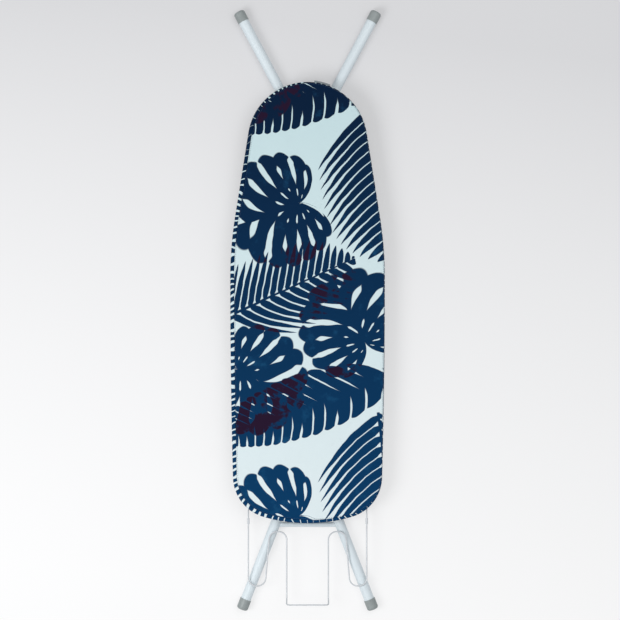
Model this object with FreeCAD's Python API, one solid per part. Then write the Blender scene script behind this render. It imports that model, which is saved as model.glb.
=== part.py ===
import FreeCAD, Part
import math
import os

os.makedirs("parts", exist_ok=True)
Vector = FreeCAD.Vector

# A folding four-leg ironing board, folded flat and lying face up on its foot caps.
# The nose points to +Y, the ironing face to +Z and the floor is Z = 0.
# The origin is the middle of the folded length, on the floor. Millimetres and degrees.

# Covered board, in plan
board_length = 1076.0
board_width = 377.0
nose_radius = 146.0
nose_taper = 9.0
shoulder_radius = 950.0
side_radius = 18000.0
corner_radius = 102.5
tail_radius = 380.0
leg_reach_past_nose = 181.0
leg_reach_past_tail = 219.0

# Cover, pad, mesh and rim
cover_thickness = 0.8
cover_edge_radius = 5.0
seam_inset = 8.0
seam_gap = 0.15
hem_width = 20.0
hem_gap = 1.2
hem_room = 1.0
elastic_width = 5.0
elastic_thickness = 1.2
elastic_setback = 1.0
soft_gap = 0.3
pad_thickness = 6.3
pad_inset = 1.4
mesh_thickness = 0.8
mesh_inset = 4.6
mesh_margin = 22.0
mesh_hole_length = 42.0
mesh_hole_width = 24.0
mesh_pitch_length = 60.0
mesh_pitch_width = 33.0
rim_diameter = 14.0
rim_inset = 1.6
tab_length = 40.0
tab_start = 16.0
tab_reach = 4.7
tab_thickness = 1.2

# Cross bars under the mesh
bar_width = 30.0
bar_height = 6.5
bar_wall = 1.2
nose_bar_setback = 80.0
channel_bar_offset = 28.0
rear_bar_offset = 190.0
tail_bar_setback = 82.0

# Leg tubes and foot caps
tube_diameter = 25.0
tube_wall = 1.2
tube_end_past_axle = 12.0
leg_bend_radius = 75.0
outer_flare = 28.0
inner_flare = 21.4
outer_bend_setback = 41.3
inner_bend_setback = 135.3
cap_wall = 1.5
cap_length = 27.0
cap_end_thickness = 4.0
cap_rounding = 6.0
plug_flange = 2.0
plug_depth = 10.0
strut_diameter = 12.0
outer_strut_setback = 90.0
inner_strut_offset = 7.0
hinge_setback = 172.0
fold_angle = 52.0

# Axles, ears and brackets
axle_diameter = 8.0
ear_wall = 3.5
ear_thickness = 3.0
ear_base = 24.0
ear_headroom = 1.0
bracket_plate = 2.0
bracket_web = 1.5
bracket_gap = 2.0
bracket_length = 30.0
bracket_rounding = 7.0
axle_cap_diameter = 13.0
axle_cap_length = 5.0
axle_cap_gap = 0.5
running_fit = 0.1
close_fit = 0.05
frame_gap = 5.0
spacer_gap = 0.3
spacer_diameter = 18.0
sleeve_wall = 2.0
bolt_head_diameter = 15.0
bolt_head_height = 5.0
nut_width = 13.0
nut_height = 6.5
bolt_end = 2.5
washer_diameter = 17.0
washer_thickness = 1.6

# Height channel
channel_wall = 2.0
channel_width = 20.0
channel_lip = 3.7
channel_end = 11.0
channel_past_rod = 42.0
channel_side_gap = 1.5
slot_gap = 0.3
rivet_diameter = 4.0
rivet_head_diameter = 8.0
rivet_head_height = 1.4

# Release lever and locking comb
lever_width = 14.0
lever_thickness = 3.0
lever_gap = 6.0
lever_top_below_axle = 1.0
lever_pivot_x = 60.0
lever_pivot_rise = 5.0
lever_ear_radius = 5.0
lever_ear_plate = 2.0
lever_pin_diameter = 5.0
lever_bracket_radius = 4.0
lever_bracket_plate = 2.0
lever_pin_head = 1.0
grip_length = 47.0
grip_width = 24.0
grip_height = 10.0
grip_rounding = 3.5
grip_overlap = 32.0
grip_clear_of_hem = 4.4
comb_thickness = 4.0
comb_gap = 0.4
comb_notch_depth = 5.5
comb_spine = 6.1
comb_past_notch = 15.0
notch_gap = 0.6
lock_angles = (52.0, 47.0, 42.0, 37.0, 32.0)
spring_radius = 4.0
spring_wire = 0.9
spring_pitch = 1.15

# Iron rest
wire_diameter = 3.5
wire_bend_radius = 20.0
stop_bend_radius = 6.0
rest_side_inset = 43.5
rest_loop_width = 41.0
rest_lean = 11.0
rest_arch_width = 42.0
rest_loop_reach = 156.0
rest_arch_reach = 23.0
rest_rail_reach = 188.0
rest_stop_run = 11.0
rest_stop_height = 25.0
ferrule_diameter = 6.0
ferrule_length = 14.0
ferrule_past_tail = 4.0
ferrule_over_legs = 1.5
wire_clear_of_hem = 1.0
end_stop_diameter = 9.0
end_stop_length = 8.0
end_stop_gap = 0.3
wire_end_length = 1.5
guide_width = 12.0
guide_length = 8.0
guide_wall = 2.2
guide_gap = 0.3

# ---- Places that follow from the sizes ----------------------------------------
half_width = board_width / 2
nose_tip = (board_length + leg_reach_past_tail - leg_reach_past_nose) / 2
tail_end = nose_tip - board_length
foot_reach = nose_tip + leg_reach_past_nose

tube_radius = tube_diameter / 2
cap_radius = tube_radius + cap_wall
leg_z = cap_radius
leg_top = leg_z + tube_radius
axle_radius = axle_diameter / 2
ear_radius = axle_radius + ear_wall
axle_z = leg_top + ear_radius
wire_z = leg_top + ferrule_over_legs + ferrule_diameter / 2
rim_radius = rim_diameter / 2
# The bars clear the ears round the axle, and the hem below the rim clears the rest's wires.
bar_bottom_over_ears = axle_z + ear_radius + ear_headroom + bracket_web
hem_over_wires = wire_z + wire_diameter / 2 + wire_clear_of_hem
rim_top_over_wires = hem_over_wires + cover_thickness + hem_gap + rim_diameter
bar_bottom = max(bar_bottom_over_ears, rim_top_over_wires - bar_height)
bar_top = bar_bottom + bar_height
rim_z = bar_top - rim_radius
mesh_top = bar_top + mesh_thickness
pad_bottom = mesh_top + soft_gap
pad_top = pad_bottom + pad_thickness
cover_top = pad_top + soft_gap + cover_thickness
cover_bottom = rim_z - rim_radius - hem_gap - cover_thickness

hinge_y = tail_end + hinge_setback
arm = -hinge_y
slide_y = arm
axle_rise = axle_z - leg_z
channel_half = channel_width / 2
inner_x = channel_half + channel_side_gap + tube_radius
outer_x = inner_x + tube_diameter + frame_gap


def rod_y(angle):
    """Place of the slide rod along the channel at a fold angle."""
    turn = math.radians(angle)
    return hinge_y + 2 * (arm * math.cos(turn) - axle_rise * math.sin(turn))


channel_start = rod_y(fold_angle) - axle_radius - slot_gap - channel_end
lever_y = channel_start - lever_gap - lever_width / 2
lever_start = lever_y - lever_width / 2
lever_stop = lever_y + lever_width / 2
lever_top = axle_z - lever_top_below_axle
lever_bottom = lever_top - lever_thickness
lever_pivot_z = lever_top + lever_pivot_rise
lever_bar_y = lever_y + bar_width / 2 - lever_width / 2 + 1
tail_bar_y = tail_end + tail_bar_setback


# ---- Shape helpers --------------------------------------------------------------
def save(name, shape):
    shape.exportStep(os.path.join("parts", name + ".step"))


def block(x0, x1, y0, y1, z0, z1):
    return Part.makeBox(x1 - x0, y1 - y0, z1 - z0, Vector(x0, y0, z0))


def rod(start, end, radius):
    run = end - start
    return Part.makeCylinder(radius, run.Length, start, run)


def cross_rod(x0, x1, y, z, radius):
    return rod(Vector(x0, y, z), Vector(x1, y, z), radius)


def long_rod(x, y0, y1, z, radius):
    return rod(Vector(x, y0, z), Vector(x, y1, z), radius)


def join(shapes):
    joined = shapes[0].multiFuse(shapes[1:])
    return joined.removeSplitter()


def mirrored(shape):
    return shape.mirror(Vector(0, 0, 0), Vector(1, 0, 0))


def both_sides(shape):
    return Part.makeCompound([shape, mirrored(shape)])


def plate_yz(points, x0, x1):
    """A flat plate with the outline given as (y, z) points."""
    corners = [Vector(x0, y, z) for y, z in points]
    face = Part.Face(Part.makePolygon(corners + corners[:1]))
    return face.extrude(Vector(x1 - x0, 0, 0))


def round_face(centre, direction, radius):
    return Part.Face(Part.Wire(Part.makeCircle(radius, centre, direction)))


def bent_bar(points, bend_radii, radius):
    """Straight round bars joined by tangent bends, one bend at each inner point."""
    pieces = []
    start = points[0]
    for before, corner, after, bend in zip(points, points[1:], points[2:], bend_radii):
        inward = (corner - before).normalize()
        outward = (after - corner).normalize()
        turn = inward.getAngle(outward)
        tangent = bend * math.tan(turn / 2)
        bend_start = corner - inward * tangent
        axis = inward.cross(outward).normalize()
        centre = bend_start + axis.cross(inward) * bend
        pieces.append(rod(start, bend_start, radius))
        section = round_face(bend_start, inward, radius)
        pieces.append(section.revolve(centre, axis, math.degrees(turn)))
        start = corner + outward * tangent
    pieces.append(rod(start, points[-1], radius))
    return join(pieces)


# ---- Board outline ----------------------------------------------------------------
def heading(angle):
    """Unit vector in plan, at an angle in radians from +Y towards +X."""
    return Vector(math.sin(angle), math.cos(angle), 0)


def outline_arcs():
    """The outline's arcs in order round from the nose: centre, radius, start, end."""
    taper = math.radians(90 - nose_taper)
    square = math.radians(90)
    whole = math.radians(360)
    nose_centre = Vector(0, nose_tip - nose_radius, 0)
    shoulder_rise = shoulder_radius * (1 - math.sin(taper))
    taper_gain = half_width - shoulder_rise - nose_radius * math.sin(taper)
    taper_run = taper_gain / math.cos(taper)
    taper_way = Vector(math.cos(taper), -math.sin(taper), 0)
    shoulder_centre = (nose_centre + heading(taper) * (nose_radius - shoulder_radius)
                       + taper_way * taper_run)
    side_centre = shoulder_centre + heading(square) * (shoulder_radius - side_radius)
    tail_centre = Vector(0, tail_end + tail_radius, 0)
    # The corner arc touches the side arc and the tail arc from inside both.
    between = tail_centre - side_centre
    side_reach = side_radius - corner_radius
    tail_reach = tail_radius - corner_radius
    gap = between.Length
    along = (side_reach ** 2 - tail_reach ** 2 + gap ** 2) / (2 * gap)
    across = math.sqrt(side_reach ** 2 - along ** 2)
    forward = between.normalize()
    sideways = Vector(forward.y, -forward.x, 0)
    corner_centre = side_centre + forward * along + sideways * across
    from_side = corner_centre - side_centre
    from_tail = corner_centre - tail_centre
    corner_start = math.atan2(from_side.x, from_side.y)
    corner_end = math.atan2(from_tail.x, from_tail.y)
    right = [(shoulder_centre, shoulder_radius, taper, square),
             (side_centre, side_radius, square, corner_start),
             (corner_centre, corner_radius, corner_start, corner_end)]
    left = [(Vector(-centre.x, centre.y, 0), radius, whole - end, whole - start)
            for centre, radius, start, end in reversed(right)]
    nose = (nose_centre, nose_radius, -taper, taper)
    tail = (tail_centre, tail_radius, corner_end, whole - corner_end)
    return [nose] + right + [tail] + left


def outline_edges(inset, z):
    """Edges of the outline moved inwards by the inset, each with its arc or None."""
    rise = Vector(0, 0, z)
    arcs = [(centre + rise, radius - inset, start, end)
            for centre, radius, start, end in outline_arcs()]
    edges = []
    for index, (centre, radius, start, end) in enumerate(arcs):
        first = centre + heading(start) * radius
        middle = centre + heading((start + end) / 2) * radius
        last = centre + heading(end) * radius
        edges.append((Part.Arc(first, middle, last).toShape(), (centre, radius, start, end)))
        next_centre, next_radius, next_start, next_end = arcs[(index + 1) % len(arcs)]
        follow = next_centre + heading(next_start) * next_radius
        if (follow - last).Length > 0.001:
            edges.append((Part.LineSegment(last, follow).toShape(), None))
    return edges


def slab(inset, z0, z1):
    """A flat slab with the board's outline, moved inwards by the inset."""
    wire = Part.Wire([edge for edge, arc in outline_edges(inset, z0)])
    return Part.Face(wire).extrude(Vector(0, 0, z1 - z0))


def inside_hem(y, length):
    """Half the width left inside the hem by a piece of some length across the board."""
    opening = slab(hem_width, -1, 1)
    widths = []
    for place in (y - length / 2, y + length / 2):
        across = Part.makeLine(Vector(0, place, 0), Vector(board_width, place, 0))
        widths.append(across.common(opening).Length)
    return min(widths) - hem_room


# The grip and the rest's guides keep inside the hem.
grip_end = min(half_width - hem_width - grip_clear_of_hem, inside_hem(lever_y, grip_width))
rest_x = min(half_width - rest_side_inset,
             inside_hem(tail_bar_y, guide_length) - guide_width / 2)


def ring_tube(inset, z, radius):
    """A round tube that follows the outline, with its centre line at the inset."""
    pieces = []
    for edge, arc in outline_edges(inset, z):
        start = edge.valueAt(edge.FirstParameter)
        end = edge.valueAt(edge.LastParameter)
        if arc is None:
            pieces.append(rod(start, end, radius))
            continue
        centre, bend, first, last = arc
        begin = centre + heading(first) * bend
        section = round_face(begin, Vector(math.cos(first), -math.sin(first), 0), radius)
        pieces.append(section.revolve(centre, Vector(0, 0, -1), math.degrees(last - first)))
    return join(pieces)


# ---- Board frame ------------------------------------------------------------------
def make_rim():
    return ring_tube(rim_inset + rim_radius, rim_z, rim_radius)


def make_mesh():
    """Steel sheet with staggered diamond openings inside a plain margin."""
    wire = Part.Wire([edge for edge, arc in outline_edges(mesh_inset, bar_top)])
    inside = Part.Face(Part.Wire([edge for edge, arc in outline_edges(mesh_margin, bar_top)]))
    wires = [wire]
    rows = int(board_length / mesh_pitch_length) * 2
    columns = int(board_width / mesh_pitch_width) + 2
    middle = (nose_tip + tail_end) / 2
    for row in range(-rows // 2, rows // 2 + 1):
        shift = (row % 2) * mesh_pitch_width / 2
        y = middle + row * mesh_pitch_length / 2
        for column in range(-columns // 2, columns // 2 + 1):
            x = shift + column * mesh_pitch_width
            tips = [Vector(x, y + mesh_hole_length / 2, bar_top),
                    Vector(x + mesh_hole_width / 2, y, bar_top),
                    Vector(x, y - mesh_hole_length / 2, bar_top),
                    Vector(x - mesh_hole_width / 2, y, bar_top)]
            if all(inside.isInside(tip, 0.01, True) for tip in tips):
                wires.append(Part.makePolygon(tips + tips[:1]))
    face = Part.Face(wires, "Part::FaceMakerBullseye")
    return face.extrude(Vector(0, 0, mesh_thickness))


def make_cross_bar(y, rim_room, bar_room):
    """A box-section bar across the board, its ends shaped to the rim tube."""
    outside = block(-half_width, half_width, y - bar_width / 2, y + bar_width / 2,
                    bar_bottom, bar_top)
    inside = block(-half_width, half_width, y - bar_width / 2 + bar_wall,
                   y + bar_width / 2 - bar_wall, bar_bottom + bar_wall, bar_top - bar_wall)
    return outside.cut(inside).common(bar_room).cut(rim_room)


def make_channel():
    """Inverted channel on the centre line, with a slot in each wall for the slide rod."""
    far_end = slide_y + channel_past_rod
    bottom = axle_z - axle_radius - slot_gap - channel_lip
    body = block(-channel_half, channel_half, channel_start, far_end, bottom, bar_bottom)
    inner_half = channel_half - channel_wall
    hollow = block(-inner_half, inner_half, channel_start - 1, far_end + 1,
                   bottom - 1, bar_bottom - channel_wall)
    slot_radius = axle_radius + slot_gap
    near = cross_rod(-channel_width, channel_width, rod_y(fold_angle), axle_z, slot_radius)
    far = cross_rod(-channel_width, channel_width, slide_y, axle_z, slot_radius)
    slot = block(-channel_width, channel_width, rod_y(fold_angle), slide_y,
                 axle_z - slot_radius, axle_z + slot_radius)
    channel = body.cut(hollow).cut(join([near, far, slot]))
    return channel.cut(join(make_rivet_shanks(rivet_diameter / 2 + close_fit)))


def rivet_places():
    near = channel_start + channel_end / 2
    middle = (rod_y(fold_angle) + slide_y) / 2
    far = slide_y + channel_bar_offset
    return [near, middle, far]


def make_rivet_shanks(radius):
    bottom = bar_bottom - channel_wall
    top = bar_bottom + bar_wall
    return [rod(Vector(0, y, bottom), Vector(0, y, top), radius) for y in rivet_places()]


def make_rivets():
    """Rivets that hold the channel to the cross bars, with a head at each end."""
    rivets = []
    for y, shank in zip(rivet_places(), make_rivet_shanks(rivet_diameter / 2)):
        below = bar_bottom - channel_wall
        above = bar_bottom + bar_wall
        lower = rod(Vector(0, y, below - rivet_head_height), Vector(0, y, below),
                    rivet_head_diameter / 2)
        upper = rod(Vector(0, y, above), Vector(0, y, above + rivet_head_height),
                    rivet_head_diameter / 2)
        rivets.append(join([shank, lower, upper]))
    return Part.makeCompound(rivets)


def make_hinge_bracket(x):
    """A folded steel bracket with a plate on each side of the leg's ear."""
    inner = ear_thickness / 2 + bracket_gap
    outer = inner + bracket_plate
    web_bottom = bar_bottom - bracket_web
    web = block(x - outer, x + outer, hinge_y - bracket_length / 2,
                hinge_y + bracket_length / 2, web_bottom, bar_bottom)
    pieces = [web]
    for x0, x1 in ((x - outer, x - inner), (x + inner, x + outer)):
        pieces.append(block(x0, x1, hinge_y - bracket_rounding, hinge_y + bracket_rounding,
                            axle_z, web_bottom))
        pieces.append(cross_rod(x0, x1, hinge_y, axle_z, bracket_rounding))
    bracket = join(pieces)
    hole = cross_rod(x - outer - 1, x + outer + 1, hinge_y, axle_z, axle_radius + close_fit)
    return bracket.cut(hole)


def make_axle_caps(reach, y):
    """Push-on caps for the ends of an axle that reaches to x = reach."""
    start = reach - axle_cap_length + 1
    cap = cross_rod(start, start + axle_cap_length, y, axle_z, axle_cap_diameter / 2)
    bore = cross_rod(start - 1, reach, y, axle_z, axle_radius + close_fit)
    return both_sides(cap.cut(bore))


# ---- Leg frames ---------------------------------------------------------------------
def leg_points(x, top, bend, flare, foot_way):
    """Centre line of a right-hand leg: top end, bend corner and foot cap end."""
    turn = math.radians(flare)
    rounding_reach = (cap_rounding - cap_rounding * math.cos(turn)
                      + (cap_radius - cap_rounding) * math.sin(turn))
    foot_y = foot_way * (foot_reach - rounding_reach)
    foot_x = x + abs(foot_y - bend) * math.tan(turn)
    return [Vector(x, top, leg_z), Vector(x, bend, leg_z), Vector(foot_x, foot_y, leg_z)]


def make_leg_tube(points, radius):
    """A solid bent bar of the leg's path, ending inside the foot cap."""
    slope = (points[2] - points[1]).normalize()
    path = points[:2] + [points[2] - slope * cap_end_thickness]
    return bent_bar(path, [leg_bend_radius], radius)


def make_leg(points, bolt_hole):
    outside = make_leg_tube(points, tube_radius)
    inside = make_leg_tube(points, tube_radius - tube_wall)
    hole = cross_rod(0, outer_x * 2, 0, leg_z, bolt_hole)
    return outside.cut(inside).cut(hole)


def make_foot_cap(points):
    slope = (points[2] - points[1]).normalize()
    start = points[2] - slope * cap_length
    cap = rod(start, points[2], cap_radius)
    ends = [edge for edge in cap.Edges
            if edge.Curve.TypeId == "Part::GeomCircle"
            and (edge.Curve.Center - points[2]).Length < 0.01]
    cap = cap.makeFillet(cap_rounding, ends)
    bore = rod(start - slope, points[2] - slope * cap_end_thickness, tube_radius + close_fit)
    return cap.cut(bore)


def make_tube_plug(x, end, way):
    """Plastic plug in the open top end of a leg tube."""
    flange = long_rod(x, end, end + way * plug_flange, leg_z, tube_radius - close_fit)
    stub = long_rod(x, end, end - way * plug_depth, leg_z, tube_radius - tube_wall - close_fit)
    return join([flange, stub])


def make_ear(x, y, tube, hole_radius):
    """A plate on top of the tube that carries it on its axle."""
    x0 = x - ear_thickness / 2
    x1 = x + ear_thickness / 2
    half = ear_base / 2
    web = plate_yz([(y - half, leg_z), (y + half, leg_z), (y + ear_radius, axle_z),
                    (y - ear_radius, axle_z)], x0, x1)
    ear = join([web, cross_rod(x0, x1, y, axle_z, ear_radius)])
    hole = cross_rod(x0 - 1, x1 + 1, y, axle_z, hole_radius)
    return ear.cut(tube).cut(hole)


def make_strut(points, y, tube):
    """A cross tube between the two legs of a frame, its ends shaped to them."""
    top, bend, foot = points
    past_bend = max(0, (y - bend.y) / (foot.y - bend.y))
    x = bend.x + (foot.x - bend.x) * past_bend
    outside = cross_rod(-x, x, y, leg_z, strut_diameter / 2)
    inside = cross_rod(-x, x, y, leg_z, strut_diameter / 2 - tube_wall)
    return outside.cut(inside).cut(tube).cut(mirrored(tube))


outer_points = leg_points(outer_x, hinge_y - tube_end_past_axle, nose_tip - outer_bend_setback,
                          outer_flare, 1)
inner_points = leg_points(inner_x, slide_y + tube_end_past_axle, tail_end + inner_bend_setback,
                          inner_flare, -1)
outer_room = make_leg_tube(outer_points, tube_radius + close_fit)
inner_room = make_leg_tube(inner_points, tube_radius + close_fit)


# ---- Crossing pivot -------------------------------------------------------------------
def make_pivot_bolt():
    reach = outer_x + tube_radius + close_fit + washer_thickness + close_fit
    shank = cross_rod(-reach, reach + nut_height + bolt_end, 0, leg_z, axle_radius)
    head = cross_rod(-reach - bolt_head_height, -reach, 0, leg_z, bolt_head_diameter / 2)
    rims = [edge for edge in head.Edges
            if edge.Curve.TypeId == "Part::GeomCircle"
            and edge.Curve.Center.x < -reach - bolt_head_height / 2]
    head = head.makeFillet(bolt_head_height * 0.6, rims)
    return join([shank, head])


def make_pivot_nut():
    start = outer_x + tube_radius + washer_thickness + 2 * close_fit
    across = nut_width / math.sqrt(3)
    corners = [(across * math.cos(math.radians(60 * side)),
                leg_z + across * math.sin(math.radians(60 * side))) for side in range(6)]
    nut = plate_yz(corners, start, start + nut_height)
    return nut.cut(cross_rod(start - 1, start + nut_height + 1, 0, leg_z,
                             axle_radius + close_fit))


def make_ring_on_bolt(x0, x1, diameter):
    ring = cross_rod(x0, x1, 0, leg_z, diameter / 2)
    return ring.cut(cross_rod(x0 - 1, x1 + 1, 0, leg_z, axle_radius + running_fit))


# ---- Release lever ----------------------------------------------------------------------
def pivot_rod(y0, y1, radius):
    return long_rod(lever_pivot_x, y0, y1, lever_pivot_z, radius)


def make_lever_arm():
    arm_end = grip_end - grip_length + grip_overlap
    bar = block(-comb_thickness * 1.5, arm_end, lever_start, lever_stop, lever_bottom, lever_top)
    pieces = [bar]
    for y0, y1 in ((lever_start, lever_start + lever_ear_plate),
                   (lever_stop - lever_ear_plate, lever_stop)):
        pieces.append(block(lever_pivot_x - lever_ear_radius, lever_pivot_x + lever_ear_radius,
                            y0, y1, lever_top, lever_pivot_z))
        pieces.append(pivot_rod(y0, y1, lever_ear_radius))
    hole = pivot_rod(lever_start - 1, lever_stop + 1, lever_pin_diameter / 2 + close_fit)
    return join(pieces).cut(hole)


def make_lever_bracket():
    gap = bracket_gap / 2
    outer0 = lever_start + lever_ear_plate + gap
    outer1 = lever_stop - lever_ear_plate - gap
    inner0 = outer0 + lever_bracket_plate
    inner1 = outer1 - lever_bracket_plate
    radius = lever_bracket_radius
    web = block(lever_pivot_x - radius * 2, lever_pivot_x + radius * 2, outer0, outer1,
                bar_bottom - bracket_web, bar_bottom)
    pieces = [web]
    for y0, y1 in ((outer0, inner0), (inner1, outer1)):
        pieces.append(block(lever_pivot_x - radius, lever_pivot_x + radius, y0, y1,
                            lever_pivot_z, bar_bottom - bracket_web))
        pieces.append(pivot_rod(y0, y1, radius))
    hole = pivot_rod(outer0 - 1, outer1 + 1, lever_pin_diameter / 2 + close_fit)
    return join(pieces).cut(hole)


def make_lever_pin():
    start = lever_start - spacer_gap
    stop = lever_stop + spacer_gap
    head = lever_pin_diameter / 2 + lever_pin_head
    return join([pivot_rod(start, stop, lever_pin_diameter / 2),
                 pivot_rod(start - lever_pin_head, start, head),
                 pivot_rod(stop, stop + lever_pin_head, head)])


def make_lever_spring():
    """A short torsion coil round the lever's pin, between the bracket's plates."""
    inner0 = lever_start + lever_ear_plate + bracket_gap / 2 + lever_bracket_plate
    inner1 = lever_stop - lever_ear_plate - bracket_gap / 2 - lever_bracket_plate
    height = inner1 - inner0 - spring_wire * 1.4
    helix = Part.makeHelix(spring_pitch, height, spring_radius)
    section = Part.Wire(Part.makeCircle(spring_wire / 2, Vector(spring_radius, 0, 0),
                                        Vector(0, 1, 0)))
    coil = Part.Wire(helix).makePipeShell([section], True, True)
    coil.rotate(Vector(0, 0, 0), Vector(1, 0, 0), -90)
    coil.translate(Vector(lever_pivot_x, inner0 + spring_wire * 0.7, lever_pivot_z))
    return coil


def make_grip():
    arm_end = grip_end - grip_length + grip_overlap
    middle = (lever_bottom + lever_top) / 2
    grip = block(grip_end - grip_length, grip_end, lever_y - grip_width / 2,
                 lever_y + grip_width / 2, middle - grip_height / 2, middle + grip_height / 2)
    grip = grip.makeFillet(grip_rounding, grip.Edges)
    socket = block(grip_end - grip_length - 1, arm_end, lever_start - close_fit,
                   lever_stop + close_fit, lever_bottom - close_fit, lever_top + close_fit)
    return grip.cut(socket)


def make_comb():
    """Toothed plate that rises round the slide rod to lock the legs."""
    top = axle_z - axle_radius - comb_gap
    notch_bottom = top - comb_notch_depth
    bottom = notch_bottom - comb_spine
    half = comb_thickness / 2
    end = rod_y(min(lock_angles)) + comb_past_notch
    comb = join([block(-half, half, lever_start, end, bottom, top),
                 block(-half, half, lever_start, lever_stop, bottom, lever_bottom)])
    notch_radius = axle_radius + notch_gap
    for angle in lock_angles:
        y = rod_y(angle)
        seat = cross_rod(-comb_thickness, comb_thickness, y, notch_bottom + notch_radius,
                         notch_radius)
        mouth = block(-comb_thickness, comb_thickness, y - notch_radius, y + notch_radius,
                      notch_bottom + notch_radius, top + notch_radius)
        comb = comb.cut(join([seat, mouth]))
    return comb


# ---- Iron rest ----------------------------------------------------------------------------
def make_rest_wire():
    """One bent wire: side runs, loops, arches, middle rails and the raised end stop."""
    loop_y = tail_end - rest_loop_reach
    arch_y = tail_end - rest_arch_reach
    loop_x = rest_x - rest_loop_width
    arch_x = loop_x - rest_lean
    rail_x = arch_x - rest_arch_width
    rail_end = tail_end - rest_rail_reach
    stop_z = wire_z + rest_stop_height
    half = [Vector(rest_x, wire_end_y(), wire_z), Vector(rest_x, loop_y, wire_z),
            Vector(loop_x, loop_y, wire_z), Vector(arch_x, arch_y, wire_z),
            Vector(rail_x, arch_y, wire_z), Vector(rail_x, rail_end, wire_z),
            Vector(rail_x, rail_end - rest_stop_run, stop_z)]
    radii = [wire_bend_radius] * 4 + [stop_bend_radius] * 2
    other = [Vector(-point.x, point.y, point.z) for point in reversed(half)]
    return bent_bar(half + other, radii + radii[::-1], wire_diameter / 2)


def end_stop_start():
    return hinge_y + guide_length / 2 + end_stop_gap


def wire_end_y():
    return end_stop_start() + end_stop_length + wire_end_length


def make_wire_collars(y0, y1, diameter):
    collar = long_rod(rest_x, y0, y1, wire_z, diameter / 2)
    bore = long_rod(rest_x, y0 - 1, y1 + 1, wire_z, wire_diameter / 2 + close_fit)
    return both_sides(collar.cut(bore))


def make_wire_guides():
    """Plastic blocks under two cross bars that the rest's wires slide through."""
    bore_radius = ferrule_diameter / 2 + guide_gap
    bottom = wire_z - bore_radius - guide_wall
    guides = []
    for y in (hinge_y, tail_bar_y):
        guide = block(rest_x - guide_width / 2, rest_x + guide_width / 2, y - guide_length / 2,
                      y + guide_length / 2, bottom, bar_bottom)
        guide = guide.cut(long_rod(rest_x, y - guide_length, y + guide_length, wire_z,
                                   bore_radius))
        guides += [guide, mirrored(guide)]
    return Part.makeCompound(guides)


# ---- Pad and cover --------------------------------------------------------------------------
def rounded_slab(inset, z0, z1, rounding):
    """A slab whose top edge is rounded over."""
    body = slab(inset, z0, z1)
    top_edges = [edge for edge in body.Edges
                 if edge.BoundBox.ZMin > z1 - 0.01 and edge.BoundBox.ZMax < z1 + 0.01]
    return body.makeFillet(rounding, top_edges)


def make_cover_skirt():
    """Edge strip of the cover: top border, side wall and the hem turned in below."""
    outside = rounded_slab(0, cover_bottom, cover_top, cover_edge_radius)
    inside = rounded_slab(cover_thickness, cover_bottom + cover_thickness,
                          cover_top - cover_thickness, cover_edge_radius - cover_thickness)
    hem_opening = slab(hem_width, cover_bottom - 1, rim_z)
    panel_opening = slab(seam_inset, rim_z, cover_top + 1)
    return outside.cut(inside).cut(hem_opening).cut(panel_opening)


def make_elastic():
    z0 = cover_bottom + cover_thickness + soft_gap
    outer = hem_width - elastic_setback - elastic_width
    inner = hem_width - elastic_setback
    return slab(outer, z0, z0 + elastic_thickness).cut(
        slab(inner, z0 - 1, z0 + elastic_thickness + 1))


def make_tab():
    """A plain woven tab sewn into the edge seam beside the nose."""
    z0 = mesh_top
    z1 = z0 + tab_thickness
    band = slab(-tab_reach, z0, z1).cut(slab(-soft_gap, z0 - 1, z1 + 1))
    window = block(tab_start, tab_start + tab_length, nose_tip - nose_radius,
                   nose_tip + tab_reach * 2, z0 - 1, z1 + 1)
    return band.common(window)


# ---- Build ------------------------------------------------------------------------------------
save("board_rim", make_rim())
save("mesh_top", make_mesh())

rim_room = ring_tube(rim_inset + rim_radius, rim_z, rim_radius + close_fit)
bar_room = slab(rim_inset + rim_radius * 1.8, bar_bottom - 1, bar_top + 1)
rivet_holes = join(make_rivet_shanks(rivet_diameter / 2 + close_fit))
bars = {"nose_cross_bar": nose_tip - nose_bar_setback,
        "channel_front_bar": slide_y + channel_bar_offset,
        "channel_middle_bar": (rod_y(fold_angle) + slide_y) / 2,
        "lever_cross_bar": lever_bar_y,
        "rear_cross_bar": hinge_y + rear_bar_offset,
        "hinge_cross_bar": hinge_y,
        "tail_cross_bar": tail_bar_y}
for name, y in bars.items():
    save(name, make_cross_bar(y, rim_room, bar_room).cut(rivet_holes))

save("height_channel", make_channel())
save("channel_rivets", make_rivets())
save("hinge_brackets", both_sides(make_hinge_bracket(outer_x)))
bracket_side = outer_x + ear_thickness / 2 + bracket_gap + bracket_plate
hinge_reach = bracket_side + axle_cap_gap + axle_cap_length - 1
save("hinge_axle", cross_rod(-hinge_reach, hinge_reach, hinge_y, axle_z, axle_radius))
save("hinge_axle_caps", make_axle_caps(hinge_reach, hinge_y))

for name, points, bolt_hole in (
        ("outer_leg", outer_points, axle_radius + close_fit),
        ("inner_leg", inner_points, axle_radius + running_fit)):
    leg = make_leg(points, bolt_hole)
    cap = make_foot_cap(points)
    save(name + "_right", leg)
    save(name + "_left", mirrored(leg))
    save(name + "_foot_cap_right", cap)
    save(name + "_foot_cap_left", mirrored(cap))

save("outer_tube_plugs", both_sides(make_tube_plug(outer_x, outer_points[0].y, -1)))
save("inner_tube_plugs", both_sides(make_tube_plug(inner_x, inner_points[0].y, 1)))
save("outer_leg_ears", both_sides(
    make_ear(outer_x, hinge_y, outer_room, axle_radius + running_fit)))
save("inner_leg_ears", both_sides(
    make_ear(inner_x, slide_y, inner_room, axle_radius + close_fit)))
save("outer_leg_strut", make_strut(outer_points, nose_tip - outer_strut_setback, outer_room))
save("inner_leg_strut", make_strut(inner_points, tail_end - inner_strut_offset, inner_room))

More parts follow.
